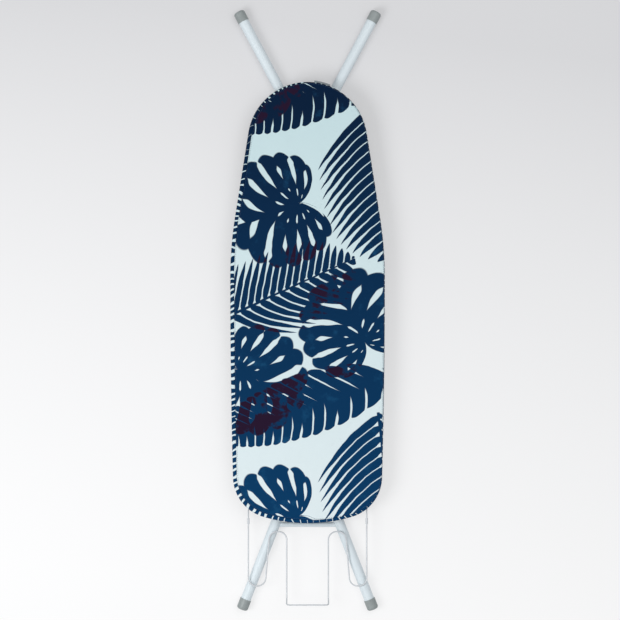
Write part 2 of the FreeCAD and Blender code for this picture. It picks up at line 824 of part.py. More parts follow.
slide_reach = inner_x + ear_thickness / 2 + axle_cap_gap + axle_cap_length - 1
save("slide_rod", cross_rod(-slide_reach, slide_reach, slide_y, axle_z, axle_radius))
save("slide_rod_caps", make_axle_caps(slide_reach, slide_y))

save("pivot_bolt", make_pivot_bolt())
save("pivot_nut", make_pivot_nut())
washer_start = outer_x + tube_radius + close_fit
save("pivot_washers", both_sides(
    make_ring_on_bolt(washer_start, washer_start + washer_thickness, washer_diameter)))
save("pivot_spacers", both_sides(
    make_ring_on_bolt(inner_x + tube_radius + spacer_gap, outer_x - tube_radius - spacer_gap,
                      spacer_diameter)))
sleeve_half = inner_x - tube_radius - spacer_gap
save("pivot_sleeve", make_ring_on_bolt(-sleeve_half, sleeve_half,
                                       axle_diameter + 2 * (running_fit + sleeve_wall)))

save("lever_bracket", make_lever_bracket())
save("lever_pin", make_lever_pin())
save("lever_spring", make_lever_spring())
save("lever_arm", make_lever_arm())
save("lever_grip", make_grip())
save("locking_comb", make_comb())

save("iron_rest_wire", make_rest_wire())
ferrule_start = tail_end - ferrule_past_tail
save("wire_ferrules", make_wire_collars(ferrule_start, ferrule_start + ferrule_length,
                                        ferrule_diameter))
save("wire_end_stops", make_wire_collars(end_stop_start(), end_stop_start() + end_stop_length,
                                         end_stop_diameter))
save("wire_guides", make_wire_guides())

save("foam_pad", rounded_slab(pad_inset, pad_bottom, pad_top,
                              cover_edge_radius - cover_thickness))
save("cover_top_panel", slab(seam_inset + seam_gap, cover_top - cover_thickness, cover_top))
save("cover_skirt", make_cover_skirt())
save("hem_elastic", make_elastic())
save("woven_tab", make_tab())
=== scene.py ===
import math

import bmesh
import bpy
from bpy.props import FloatProperty, FloatVectorProperty, IntProperty, PointerProperty
from bpy.types import Operator, Panel, PropertyGroup
from mathutils import Matrix, Vector, noise


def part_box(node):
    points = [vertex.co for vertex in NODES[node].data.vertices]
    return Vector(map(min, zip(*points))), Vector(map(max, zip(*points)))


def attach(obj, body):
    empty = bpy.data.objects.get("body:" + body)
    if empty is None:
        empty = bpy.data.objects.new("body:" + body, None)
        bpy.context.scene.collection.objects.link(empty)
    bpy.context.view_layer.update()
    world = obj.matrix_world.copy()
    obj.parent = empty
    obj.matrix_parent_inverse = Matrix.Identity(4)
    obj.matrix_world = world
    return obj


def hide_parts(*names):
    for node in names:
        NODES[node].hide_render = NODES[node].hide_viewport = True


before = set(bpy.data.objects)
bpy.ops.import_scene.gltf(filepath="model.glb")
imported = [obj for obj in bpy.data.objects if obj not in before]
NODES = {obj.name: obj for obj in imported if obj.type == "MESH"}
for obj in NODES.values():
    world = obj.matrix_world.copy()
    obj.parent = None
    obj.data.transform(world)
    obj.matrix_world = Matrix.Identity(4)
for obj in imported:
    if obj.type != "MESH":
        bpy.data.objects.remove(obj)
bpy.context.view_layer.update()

bl_info = {
    "name": "Ironing board",
    "version": (1, 0, 0),
    "blender": (4, 5, 0),
    "location": "3D Viewport > Sidebar > Ironing board",
    "description": "Dresses a folding ironing board in its cover, pad, paints and studio",
    "category": "Object",
}

SKIRT_LOW, SKIRT_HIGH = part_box("cover_skirt")
PAD_LOW, PAD_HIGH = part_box("foam_pad")
ELASTIC_LOW, ELASTIC_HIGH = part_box("hem_elastic")
TAB_LOW, TAB_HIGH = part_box("woven_tab")
PAD_MIDDLE = (PAD_LOW.z + PAD_HIGH.z) / 2
COTTON_PITCH = 0.0011
TAB_CUT = 0.018


def size(name, metres, about):
    return FloatProperty(name=name, description=about, default=metres, unit="LENGTH",
                         subtype="DISTANCE", precision=4)


def share(name, value, about):
    return FloatProperty(name=name, description=about, default=value, min=0.0, soft_max=1.0,
                         subtype="FACTOR")


def colour(name, red, green, blue, about):
    """A colour as it is seen on a screen, from 0 to 255."""
    return FloatVectorProperty(name=name, description=about, size=3, min=0.0, max=1.0,
                               default=(red / 255, green / 255, blue / 255),
                               subtype="COLOR_GAMMA")


class BoardOutline(PropertyGroup):
    """Sizes of the covered board, seen from above."""
    length: size("Length", SKIRT_HIGH.y - SKIRT_LOW.y, "Covered board from tail to nose")
    width: size("Width", SKIRT_HIGH.x - SKIRT_LOW.x, "Widest part of the covered board")
    nose_tip: size("Nose tip", SKIRT_HIGH.y, "Place of the nose's tip")
    nose_radius: size("Nose radius", 0.146, "Radius of the rounded nose")
    nose_taper: FloatProperty(name="Nose taper", description="Lean of the nose's straight sides",
                              default=math.radians(9), subtype="ANGLE")
    shoulder_radius: size("Shoulder radius", 0.95, "Radius where the nose meets the sides")
    side_radius: size("Side radius", 18.0, "Radius of the long, nearly straight sides")
    corner_radius: size("Corner radius", 0.1025, "Radius of the two tail corners")
    tail_radius: size("Tail radius", 0.38, "Radius of the rounded tail")


class CoverSizes(PropertyGroup):
    """Sizes of the cover, its strip, pad and sewing."""
    cloth: size("Cloth", 0.0008, "Thickness of the cover's cloth")
    edge_radius: size("Edge radius", 0.005, "Rounding of the cover over the board's edge")
    seam_inset: size("Seam inset", 0.0055, "How far the seam stands in from the edge")
    seam_drift_x: size("Seam drift across", 0.0043, "How far the panel is pulled to the right")
    seam_drift_y: size("Seam drift along", 0.003, "How far the panel is pulled to the nose")
    hem_width: size("Hem width", 0.020, "How far the hem reaches under the board")
    pucker: size("Pucker", 0.0005, "Depth of the puckers along the seam")
    gather: size("Gather", 0.0006, "Depth of the gathers along the hem")
    stitch: size("Stitch", 0.0032, "Length of one seam stitch")
    stitch_gap: size("Stitch gap", 0.0014, "Gap between seam stitches")
    thread: size("Thread", 0.0006, "Thickness of the sewing thread")
    tab_reach: size("Tab reach", 0.0046, "How far the woven tab stands out of the seam")
    pad_swell: size("Pad swell", 0.0006, "How far the foam swells between its faces")


class CoverPrint(PropertyGroup):
    """Colours and repeat of the printed leaves."""
    repeat: size("Repeat", 0.760, "Length of the print's repeat along the board")
    # The nose and tail colours differ by painted light: darker at the nose, lighter at the tail.
    ground_nose: colour("Ground, nose", 196, 219, 223, "Pale ground at the nose")
    ground_tail: colour("Ground, tail", 219, 231, 234, "Pale ground at the tail")
    leaf_nose: colour("Leaf, nose", 0, 26, 54, "Leaf blue at the nose")
    leaf_tail: colour("Leaf, tail", 0, 54, 94, "Leaf blue at the tail")
    leaf_light: colour("Leaf, washed", 30, 92, 134, "Lighter wash inside the leaves")
    overlap: colour("Overlap", 33, 15, 40, "Plum where two leaves lie over each other")
    thread: colour("Thread", 32, 58, 92, "Sewing thread")


class BoardFinish(PropertyGroup):
    """Colours of the painted, plated and moulded pieces."""
    frame_paint: colour("Frame paint", 214, 224, 229, "Powder coat of the leg tubes and bars")
    mesh_paint: colour("Mesh paint", 190, 198, 202, "Paint of the mesh top")
    wire_coating: colour("Wire coating", 198, 202, 206, "Coating of the iron rest")
    plating: colour("Plating", 196, 198, 196, "Zinc plating of the axles and bolts")
    grey_plastic: colour("Grey plastic", 142, 149, 149, "Foot caps, plugs and grip")
    white_plastic: colour("White plastic", 236, 237, 236, "Guides and sleeves")
    foam: colour("Foam", 226, 224, 214, "Pad under the cover")
    elastic: colour("Elastic", 238, 238, 234, "Elastic in the hem")
    # The tab's grey is partly the tape's own colour and partly painted shade from the fold and the
    # seam over it.
    tab: colour("Tab", 140, 146, 150, "Woven tab beside the nose")


class StudioSettings(PropertyGroup):
    """The camera, lamps and floor round the board."""
    camera_height: size("Camera height", 5.03, "Height of the camera over the floor")
    lens: FloatProperty(name="Lens", description="Focal length in millimetres", default=118.5)
    key_power: FloatProperty(name="Key", description="Power of the large window lamp",
                             default=44.0, subtype="POWER")
    fill_power: FloatProperty(name="Fill", description="Power of the soft fill lamp",
                              default=30.0, subtype="POWER")
    world: share("World", 0.50, "Strength of the pale surroundings")
    rounds: IntProperty(name="Rounds", description="Points in each ring round the board",
                        default=720, min=120)


# ---- Shader maths -----------------------------------------------------------------
def linear(screen):
    """A screen colour as the linear colour that a shader reads."""
    return tuple(part / 12.92 if part <= 0.04045 else ((part + 0.055) / 1.055) ** 2.4
                 for part in screen) + (1.0,)


def shaded(base, part):
    """A linear colour made darker or lighter."""
    return tuple(min(1.0, level * part) for level in base[:3]) + (1.0,)


class Value:
    """A socket that Python's operators combine through Math nodes."""

    def __init__(self, shader, socket):
        self.shader = shader
        self.socket = socket

    def math(self, operation, *others):
        return self.shader.make("ShaderNodeMath", {"operation": operation}, self, *others)

    def __add__(self, other):
        return self.math("ADD", other)

    def __sub__(self, other):
        return self.math("SUBTRACT", other)

    def __rsub__(self, other):
        return self.shader.make("ShaderNodeMath", {"operation": "SUBTRACT"}, other, self)

    def __mul__(self, other):
        return self.math("MULTIPLY", other)

    def __truediv__(self, other):
        return self.math("DIVIDE", other)

    def __rtruediv__(self, other):
        return self.shader.make("ShaderNodeMath", {"operation": "DIVIDE"}, other, self)

    def __pow__(self, other):
        return self.math("POWER", other)

    def __abs__(self):
        return self.math("ABSOLUTE")

    __radd__ = __add__
    __rmul__ = __mul__

    def least(self, other):
        return self.math("MINIMUM", other)

    def most(self, other):
        return self.math("MAXIMUM", other)

    def rise(self, start, end):
        """Turns smoothly from 0 at start to 1 at end."""
        return self.shader.make("ShaderNodeMapRange", {"interpolation_type": "SMOOTHSTEP"},
                                self, start, end, 0.0, 1.0)

    def scaled(self, start, end, low, high):
        return self.shader.make("ShaderNodeMapRange", {}, self, start, end, low, high)


class Shader:
    """A material's node tree, built from its places out to its surface."""

    def __init__(self, name):
        self.material = bpy.data.materials.new(name)
        self.material.use_nodes = True
        self.tree = self.material.node_tree
        self.tree.nodes.clear()
        self.place = self.make("ShaderNodeTexCoord", {}, output="Object")

    def make(self, kind, settings, *values, output=0, **named):
        """Makes a node: its settings first, then its sockets' values or links."""
        node = self.tree.nodes.new(kind)
        for name, setting in settings.items():
            setattr(node, name, setting)
        sockets = list(zip(node.inputs, values))
        sockets += [(node.inputs[name.replace("_", " ")], value) for name, value in named.items()]
        for socket, value in sockets:
            if isinstance(value, Value):
                self.tree.links.new(value.socket, socket)
            else:
                socket.default_value = value
        return Value(self, node.outputs[output])

    def split(self, vector):
        node = self.tree.nodes.new("ShaderNodeSeparateXYZ")
        self.tree.links.new(vector.socket, node.inputs[0])
        return [Value(self, output) for output in node.outputs]

    def join(self, x, y, z=0.0):
        return self.make("ShaderNodeCombineXYZ", {}, x, y, z)

    def moved(self, vector, operation, other):
        return self.make("ShaderNodeVectorMath", {"operation": operation}, vector, other)

    def cloud(self, scale, detail=2.0, roughness=0.5, vector=None, output="Fac"):
        """Soft noise; the scale is in lumps to a metre."""
        return self.make("ShaderNodeTexNoise", {}, output=output, Vector=vector or self.place,
                         Scale=scale, Detail=detail, Roughness=roughness)

    def mix(self, factor, first, second, blend="MIX"):
        """Mixes two colours by a factor."""
        node = self.tree.nodes.new("ShaderNodeMix")
        node.data_type = "RGBA"
        node.blend_type = blend
        for index, value in ((0, factor), (6, first), (7, second)):
            if isinstance(value, Value):
                self.tree.links.new(value.socket, node.inputs[index])
            else:
                node.inputs[index].default_value = value
        return Value(self, node.outputs[2])

    def bump(self, height, strength, distance):
        return self.make("ShaderNodeBump", {}, output="Normal", Strength=strength,
                         Distance=distance, Height=height)

    def surface(self, **sockets):
        """Ends the material in one Principled shader."""
        shader = self.make("ShaderNodeBsdfPrincipled", {}, **sockets)
        self.make_output(shader)
        return self.material

    def make_output(self, shader):
        output = self.tree.nodes.new("ShaderNodeOutputMaterial")
        self.tree.links.new(shader.socket, output.inputs["Surface"])


# ---- Finishes of the hard pieces ----------------------------------------------------
def powder_coat(name, tint, roughness=0.42):
    """Sprayed and baked paint: a faint orange peel, soft tone and a few rubbed places."""
    shader = Shader(name)
    base = linear(tint)
    dull = shaded(base, 0.86)
    rubbed = shaded(base, 0.55)
    tone = shader.cloud(7.0, 3.0, 0.6).rise(0.35, 0.7)
    scuffs = shader.cloud(95.0, 6.0, 0.75).rise(0.66, 0.74) * shader.cloud(6.0).rise(0.52, 0.62)
    peel = shader.cloud(1400.0, 1.0)
    colour = shader.mix(tone * 0.35, base, dull)
    colour = shader.mix(scuffs * 0.5, colour, rubbed)
    return shader.surface(Base_Color=colour, Metallic=0.0, Specular_IOR_Level=0.5,
                          Roughness=tone * 0.10 + scuffs * 0.2 + roughness,
                          Normal=shader.bump(peel, 0.08, 0.0003))


def zinc_plating(name, tint):
    """Bright plated steel with drawn lines and a cloudy passivated bloom."""
    shader = Shader(name)
    base = linear(tint)
    bloom = shader.cloud(45.0, 5.0, 0.65).rise(0.35, 0.7)
    lines = shader.cloud(1.0, 2.0, 0.5, shader.moved(shader.place, "MULTIPLY",
                                                     (60.0, 2600.0, 2600.0)))
    dark = shaded(base, 0.62)
    colour = shader.mix(bloom * 0.6, base, dark)
    return shader.surface(Base_Color=colour, Metallic=1.0, Roughness=bloom * 0.22 + 0.26,
                          Normal=shader.bump(lines, 0.12, 0.0002))


def moulded_plastic(name, tint, roughness=0.38):
    """Moulded plastic with a fine spark-eroded grain and dusty, handled patches."""
    shader = Shader(name)
    base = linear(tint)
    handled = shaded(base, 0.72)
    grain = shader.cloud(2600.0, 2.0)
    flow = shader.cloud(40.0, 4.0, 0.6).rise(0.4, 0.75)
    specks = shader.cloud(700.0, 2.0).rise(0.68, 0.74)
    colour = shader.mix(flow * 0.35 + specks * 0.3, base, handled)
    return shader.surface(Base_Color=colour, Metallic=0.0, Specular_IOR_Level=0.5,
                          Roughness=flow * 0.12 + grain * 0.08 + roughness,
                          Normal=shader.bump(grain, 0.25, 0.0003))


def dipped_coating(name, tint):
    """Thick glossy plastic dip on the bent wire, with slow runs and dimples."""
    shader = Shader(name)
    base = linear(tint)
    shade = shaded(base, 0.8)
    runs = shader.cloud(55.0, 3.0, 0.5)
    dimples = shader.cloud(600.0, 2.0)
    colour = shader.mix(runs.rise(0.45, 0.75) * 0.3, base, shade)
    return shader.surface(Base_Color=colour, Metallic=0.0, Specular_IOR_Level=0.55,
                          Roughness=runs * 0.15 + 0.22, Coat_Weight=0.25,
                          Normal=shader.bump(runs * 0.7 + dimples * 0.3, 0.2, 0.0005))


# ---- The printed leaves -------------------------------------------------------------
class Leaf:
    """One printed leaf in its own places: u along the rib from its foot, v across it."""

    def __init__(self, shader, x, y, repeat, foot, tip):
        middle = (foot[1] + tip[1]) / 2
        self.length = math.dist(foot, tip)
        turn = math.atan2(tip[1] - foot[1], tip[0] - foot[0])
        wrapped = y.math("WRAP", middle + repeat / 2, middle - repeat / 2)
        place = shader.make("ShaderNodeMapping", {"vector_type": "TEXTURE"},
                            shader.join(x, wrapped), (foot[0], foot[1], 0.0), (0.0, 0.0, turn))
        self.u, self.v, _ = shader.split(place)
        self.across = abs(self.v)
        self.upper = self.v.math("GREATER_THAN", 0.0)

    def side(self, upper, lower):
        """A number that differs on the two sides of the rib."""
        return self.upper * (upper - lower) + lower

    def along(self, sweep, curve):
        """Where on the rib the vein through each point starts."""
        return self.u - self.across * sweep - self.across * self.across * curve


def off_middle(turns):
    """0 on the middle of each blade, 1 on the gap between two blades."""
    return abs(turns.math("FRACT") - 0.5) * 2.0


def palm_leaf(leaf, pitch, blade, reach, sweep, curve):
    """A feathered leaf: long pointed blades on both sides of a thin rib."""
    start = leaf.along(leaf.side(*sweep), leaf.side(*curve))
    part = start / leaf.length
    room = leaf.side(*reach) * (1.02 - part * part * part).most(0.02)
    q = leaf.across / room
    off = off_middle(start / leaf.side(*pitch) + leaf.upper * 0.4)
    width = (1.0 - q * q * q * q) * (q * 5.0 + 0.55).least(1.0) * blade
    blades = (width - off).rise(-0.05, 0.05) * q.rise(1.0, 0.97)
    blades = blades * start.rise(-0.002, 0.001) * part.rise(1.0, 0.99)
    rib = (leaf.across + leaf.u * 0.006).rise(0.0042, 0.0030)
    rib = rib * leaf.u.rise(-0.002, 0.0) * (leaf.u / leaf.length).rise(0.98, 0.95)
    return blades.most(rib)


def torn_leaf(leaf, half_width, veins, sweep, curve):
    """A broad leaf with thin slits between its veins and a ragged edge."""
    part = leaf.u / leaf.length
    belly = (part * 4.0 * (1.0 - part)).most(0.001) ** 0.6 * leaf.side(*half_width)
    q = leaf.across / belly
    start = leaf.along(leaf.side(*sweep), leaf.side(*curve)) / leaf.length
    turns = start * (start * 8.0 + veins) + leaf.upper * 0.3
    off = off_middle(turns)
    uneven = ((turns + 0.5).math("FLOOR") * 2.0).math("SINE") * 0.26
    slits = (q - uneven).rise(0.08, 0.62) * 0.18 + (q + uneven).rise(0.8, 1.0) * 0.10
    edge = (q + off * off * 0.10 - 0.03).rise(1.02, 1.0)
    return (1.06 - slits - off).rise(-0.02, 0.05) * edge


def split_leaf(leaf, reach, lobes, swirl, shift):
    """A heart-shaped leaf, slotted between its lobes and pierced along its rib."""
    far = (leaf.u * leaf.u + leaf.v * leaf.v).math("SQRT")
    angle = leaf.v.math("ARCTAN2", leaf.u)
    wide = abs(angle)
    turns = (wide - leaf.u * swirl) / (2 * math.pi) * lobes + leaf.upper * shift
    off = off_middle(turns)
    uneven = ((turns + 0.5).math("FLOOR") * 2.4 + leaf.upper * 2.0).math("SINE") * 0.06
    notch = 1.0 - wide.rise(2.0, 3.14) * 0.92
    heart = (angle.math("COSINE") * 0.36 + 0.95) * notch * reach
    q = far / heart * (off * off * 0.09 + 1.0)
    slot = (q + uneven).rise(0.42, 0.66) * (q - uneven * 1.5).rise(0.93, 0.74) * 0.38
    holes = (q + uneven).rise(0.19, 0.25) * q.rise(0.36, 0.29) * 0.24
    tear = (q + uneven * 3.0).rise(0.94, 1.03) * 0.12
    body = (1.06 - slot - holes - tear - off).rise(-0.03, 0.05)
    rib = (leaf.across + leaf.u * 0.02).rise(0.0062, 0.0050) * leaf.u.rise(0.0, 0.004)
    return body.most(rib) * q.rise(1.0, 0.975)


def print_colours(shader, sizes):
    """The pale ground and the leaf blue, which both change from the nose to the tail: painted
    light, darker towards the nose and lighter towards the tail.
    """
    _, along, _ = shader.split(shader.place)
    # Painted light falloff: the print is darkened towards the nose and lightened towards the tail.
    down = along.scaled(0.50, -0.45, 0.0, 1.0)
    ground = shader.mix(down, linear(sizes.ground_nose), linear(sizes.ground_tail))
    blue = shader.mix(down, linear(sizes.leaf_nose), linear(sizes.leaf_tail))
    return ground, blue


def leaf_print(shader, sizes):
    """The printed cloth's colour: leaves of blue on a pale ground, plum where they cross."""
    wobble = shader.cloud(24.0, 2.0, output="Color")
    wobble = shader.moved(wobble, "SUBTRACT", (0.5, 0.5, 0.5))
    wobble = shader.moved(wobble, "MULTIPLY", (0.005, 0.005, 0.0))
    x, y, _ = shader.split(shader.moved(shader.place, "ADD", wobble))

    def leaf(foot, tip):
        return Leaf(shader, x, y, sizes.repeat, foot, tip)

    leaves = [
        torn_leaf(leaf((0.215, -0.162), (-0.222, -0.311)), (0.068, 0.082), 8.5,
                  (0.10, 1.05), (4.0, -1.0)),
        palm_leaf(leaf((0.172, 0.510), (0.222, 0.108)), (0.0250, 0.0250), 0.90,
                  (0.010, 0.165), (0.5, 0.42), (0.0, 2.4)),
        split_leaf(leaf((-0.022, 0.260), (-0.172, 0.205)), 0.142, 10.0, 8.5, 0.45),
        palm_leaf(leaf((-0.196, -0.016), (0.116, 0.128)), (0.0200, 0.0265), 0.84,
                  (0.104, 0.105), (0.62, 0.55), (1.0, 6.0)),
        split_leaf(leaf((0.140, -0.078), (0.065, 0.069)), 0.144, 10.0, 8.0, 0.1),
        split_leaf(leaf((-0.170, -0.146), (-0.034, -0.232)), 0.138, 10.0, 8.0, 0.6),
    ]
    most = count = leaves[0]
    for shape in leaves[1:]:
        most = most.most(shape)
        count = count + shape
    ground, blue = print_colours(shader, sizes)
    wash = shader.cloud(26.0, 4.0, 0.6)
    blue = shader.mix(wash.rise(0.56, 0.82) * 0.45, blue, linear(sizes.leaf_light))
    crossed = count.rise(1.35, 1.8) * wash.rise(0.40, 0.50)
    blue = shader.mix(crossed, blue, linear(sizes.overlap))
    return shader.mix(most, ground, blue), most


def weave(across, along, pitch):
    """Height of a plain weave from two places on the cloth."""
    turn = 2 * math.pi / pitch
    warp = (across * turn).math("SINE")
    weft = (along * turn).math("SINE")
    return warp * weft * 0.5 + 0.5


def cotton_surface(shader, colour, threads, roughness):
    """Ends a printed cloth: darkened with its thread pattern as painted shade in the weave, and
    with its slubs as the yarn's own tone, with their relief.
    """
    slub = shader.cloud(220.0, 3.0, 0.6)
    # Painted shade: the cloth is darkened with its thread pattern; the slub share is the yarn's own
    # uneven tone.
    weave_shade_and_slub = (0.9, 0.9, 0.9, 1.0)
    colour = shader.mix(threads * 0.30 + slub * 0.25, colour, weave_shade_and_slub, "MULTIPLY")
    return shader.surface(Base_Color=colour, Metallic=0.0, Specular_IOR_Level=0.10,
                          Roughness=slub * 0.12 + roughness,
                          Normal=shader.bump(threads * 0.5 + slub * 0.5, 0.35, 0.0004))


def printed_cotton(sizes):
    """Closely woven printed cotton of the cover's top."""
    shader = Shader("printed_cotton")
    colour, ink = leaf_print(shader, sizes)
    x, y, _ = shader.split(shader.place)
    return cotton_surface(shader, colour, weave(x, y, COTTON_PITCH), 0.84 - ink * 0.06)


def banded_cotton(sizes):
    """The cover's edge strip: the same cloth cut across, so that the print shows as bars."""
    shader = Shader("banded_cotton")
    place = shader.make("ShaderNodeUVMap", {"uv_map": "round"})
    along, across, _ = shader.split(place)
    drift = shader.cloud(9.0, 2.0)
    turns = along / 0.0165 + drift * 5.0
    width = shader.cloud(6.0, 2.0).scaled(0.40, 0.65, 0.60, 0.97)
    off = off_middle(turns + across * 14.0)
    ink = (width - off).rise(-0.05, 0.06)
    # The strip's print takes the same painted light falloff from the nose to the tail.
    colour = shader.mix(ink, *print_colours(shader, sizes))
    return cotton_surface(shader, colour, weave(along, across, COTTON_PITCH), 0.82)


def open_foam(name, tint):
    """Pale foam with its cut cells, painted darker in their hollows as painted shade."""
    shader = Shader(name)
    base = linear(tint)
    cell = shader.make("ShaderNodeTexVoronoi", {}, Vector=shader.place, Scale=700.0)
    tone = shader.cloud(30.0, 3.0)
    # Painted shade: each cut cell is darker towards its middle, where its hollow lies; the tone
    # share is the foam's own uneven colour.
    pore_shade = shaded(base, 0.62)
    colour = shader.mix(cell.rise(0.55, 0.1) * 0.5 + tone * 0.2, base, pore_shade)
    return shader.surface(Base_Color=colour, Metallic=0.0, Specular_IOR_Level=0.2,
                          Roughness=tone * 0.1 + 0.85, Normal=shader.bump(cell, 0.5, 0.0006))


def ribbed_tape(name, tint, pitch):
    """Woven tape or elastic: ribs across it, painted darker with the rib pattern as painted shade,
    and a soft nap.
    """
    shader = Shader(name)
    base = linear(tint)
    place = shader.make("ShaderNodeUVMap", {"uv_map": "round"})
    along, across, _ = shader.split(place)
    ribs = weave(across, along * 0.5, pitch)
    nap = shader.cloud(900.0, 3.0, 0.6)
    # Painted shade: the tape is darkened with its ribs; the nap share is the yarn's own uneven
    # tone.
    rib_shade = shaded(base, 0.66)
    colour = shader.mix(ribs * 0.4 + nap * 0.3, base, rib_shade)
    return shader.surface(Base_Color=colour, Metallic=0.0, Specular_IOR_Level=0.25,
                          Sheen_Weight=0.1, Roughness=nap * 0.15 + 0.75,
                          Normal=shader.bump(ribs * 0.7 + nap * 0.3, 0.5, 0.0005))


def sewing_thread(name, tint):
    """Twisted polyester thread, painted lighter along its twist as a painted highlight."""
    shader = Shader(name)
    base = linear(tint)
    x, y, _ = shader.split(shader.place)
    twist = weave(x + y, x - y, 0.0009)
    # Painted highlight: the raised twists are drawn lighter than the thread's own colour.
    light = shaded(base, 2.2)
    return shader.surface(Base_Color=shader.mix(twist * 0.5, base, light), Metallic=0.0,
                          Roughness=twist * 0.2 + 0.5, Sheen_Weight=0.1,
                          Normal=shader.bump(twist, 0.4, 0.0003))


# ---- The board's outline --------------------------------------------------------------
def heading(angle):
    return Vector((math.sin(angle), math.cos(angle)))


def outline(rounds):
    """Points round the covered board from the nose: place, outward way, length so far."""
    board = bpy.context.scene.board_outline
    half = board.width / 2
    taper = math.pi / 2 - board.nose_taper
    square = math.pi / 2
    nose = Vector((0, board.nose_tip - board.nose_radius))
    rise = board.shoulder_radius * (1 - math.sin(taper))
    run = (half - rise - board.nose_radius * math.sin(taper)) / math.cos(taper)
    shoulder = (nose + heading(taper) * (board.nose_radius - board.shoulder_radius)
                + Vector((math.cos(taper), -math.sin(taper))) * run)
    side = shoulder + heading(square) * (board.shoulder_radius - board.side_radius)
    tail = Vector((0, board.nose_tip - board.length + board.tail_radius))
    between = tail - side
    from_side = board.side_radius - board.corner_radius
    from_tail = board.tail_radius - board.corner_radius
    gap = between.length
    forward = between.normalized()
    ahead = (from_side ** 2 - from_tail ** 2 + gap ** 2) / (2 * gap)
    aside = math.sqrt(from_side ** 2 - ahead ** 2)
    corner = side + forward * ahead + Vector((forward.y, -forward.x)) * aside
    start = math.atan2((corner - side).x, (corner - side).y)
    end = math.atan2((corner - tail).x, (corner - tail).y)
    arcs = [(nose, board.nose_radius, 0.0, taper), (shoulder, board.shoulder_radius, taper, square),
            (side, board.side_radius, square, start), (corner, board.corner_radius, start, end),
            (tail, board.tail_radius, end, math.pi)]
    runs = [abs(radius * (last - first)) for _, radius, first, last in arcs]
    runs.insert(1, run)
    arcs.insert(1, None)
    total = sum(runs)
    right = []
    for step in range(rounds // 2 + 1):
        along = left = total * step / (rounds // 2)
        index = 0
        while index < len(runs) - 1 and left > runs[index]:
            left -= runs[index]
            index += 1
        if arcs[index] is None:
            out = heading(taper)
            place = (nose + out * board.nose_radius
                     + Vector((math.cos(taper), -math.sin(taper))) * left)
        else:
            centre, radius, first, last = arcs[index]
            out = heading(first + (last - first) * min(1.0, left / runs[index]))
            place = centre + out * radius
        right.append((place, out, along))
    flip = Vector((-1, 1))
    mirrored = [(place * flip, out * flip, 2 * total - along)
                for place, out, along in right[-2:0:-1]]
    return right + mirrored


def spine(place):
    """The nearest place on the board's middle line that rings can shrink to."""
    board = bpy.context.scene.board_outline
    high = board.nose_tip - board.nose_radius
    low = board.nose_tip - board.length + board.corner_radius * 1.2
    return Vector((0, min(max(place.y, low), high)))


def ring(points, inset, height):
    """One ring round the board, inset and raised by numbers or by functions of the point."""
    made = []
    for place, out, along in points:
        depth = inset(place, out, along) if callable(inset) else inset
        level = height(place, out, along) if callable(height) else height
        made.append((place - out * depth).to_3d() + Vector((0, 0, level)))
    return made


def inner_ring(points, inset, part, height):
    """A ring between one inset and the middle line."""
    made = []
    for place, out, along in points:
        edge = place - out * (inset(place, out, along) if callable(inset) else inset)
        spot = edge.lerp(spine(place), part)
        level = height(spot) if callable(height) else height
        made.append(spot.to_3d() + Vector((0, 0, level)))
    return made


def lofted(name, rings, points, closed=False):
    """Skins rings round the board: one circle, extruded and moved from ring to ring."""
    form = bmesh.new()
    layer = form.loops.layers.uv.new("round")
    travelled = form.verts.layers.float.new("travelled")
    lengthwise = form.verts.layers.float.new("lengthwise")
    bmesh.ops.create_circle(form, segments=len(points), radius=1.0, cap_ends=False)
    form.verts.ensure_lookup_table()
    loop = list(form.verts)
    edges = list(form.edges)
    walked = [0.0] * len(points)
    for vertex, spot, point in zip(loop, rings[0], points):
        vertex.co = spot
        vertex[lengthwise] = point[2]
    for before, after in zip(rings, rings[1:]):
        grown = bmesh.ops.extrude_edge_only(form, edges=edges)["geom"]
        fresh = {item for item in grown if isinstance(item, bmesh.types.BMVert)}
        edges = [item for item in grown if isinstance(item, bmesh.types.BMEdge)]
        loop = [next(edge.other_vert(vertex) for edge in vertex.link_edges
                     if edge.other_vert(vertex) in fresh) for vertex in loop]
        for index, (vertex, old, spot) in enumerate(zip(loop, before, after)):
            walked[index] += (spot - old).length
            vertex.co = spot
            vertex[travelled] = walked[index]
            vertex[lengthwise] = points[index][2]
    total = points[1][2] * len(points)
    for face in form.faces:
        face.smooth = True
        high = max(corner.vert[lengthwise] for corner in face.loops)
        for corner in face.loops:
            start = corner.vert[lengthwise]
            if high - start > total / 2:
                start += total
            corner[layer].uv = (start, corner.vert[travelled])
    bmesh.ops.remove_doubles(form, verts=form.verts, dist=1e-6)
    if closed:
        bmesh.ops.recalc_face_normals(form, faces=form.faces)
    return finished(name, form)


def put_in_order(form):
    """Sorts edges and faces by their points, so that every run makes the same mesh."""
    form.verts.index_update()
    count = len(form.verts)

    def rank(item):
        number = 0
        for index in sorted(vertex.index for vertex in item.verts)[:3]:
            number = number * count + index
        return number
    form.edges.sort(key=rank)
    form.faces.sort(key=rank)


def finished(name, form):
    """Turns a bmesh into a named object at the origin."""
    put_in_order(form)
    mesh = bpy.data.meshes.new(name)
    form.to_mesh(mesh)
    form.free()
    piece = bpy.data.objects.new(name, mesh)
    bpy.context.scene.collection.objects.link(piece)
    return piece


def dress(piece, material, body, slot, *nodes):
    """Gives a piece its material and body, and hides the nodes it stands for; the slot is not used.
    """
    piece.data.materials.append(material)
    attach(piece, body)
    if nodes:
        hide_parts(*nodes)
    return piece


def thicken(piece, thickness):
    """Gives a sheet its cloth's thickness on its inner side."""
    wall = piece.modifiers.new("cloth", "SOLIDIFY")
    wall.thickness = thickness
    wall.offset = -1.0
    return wall


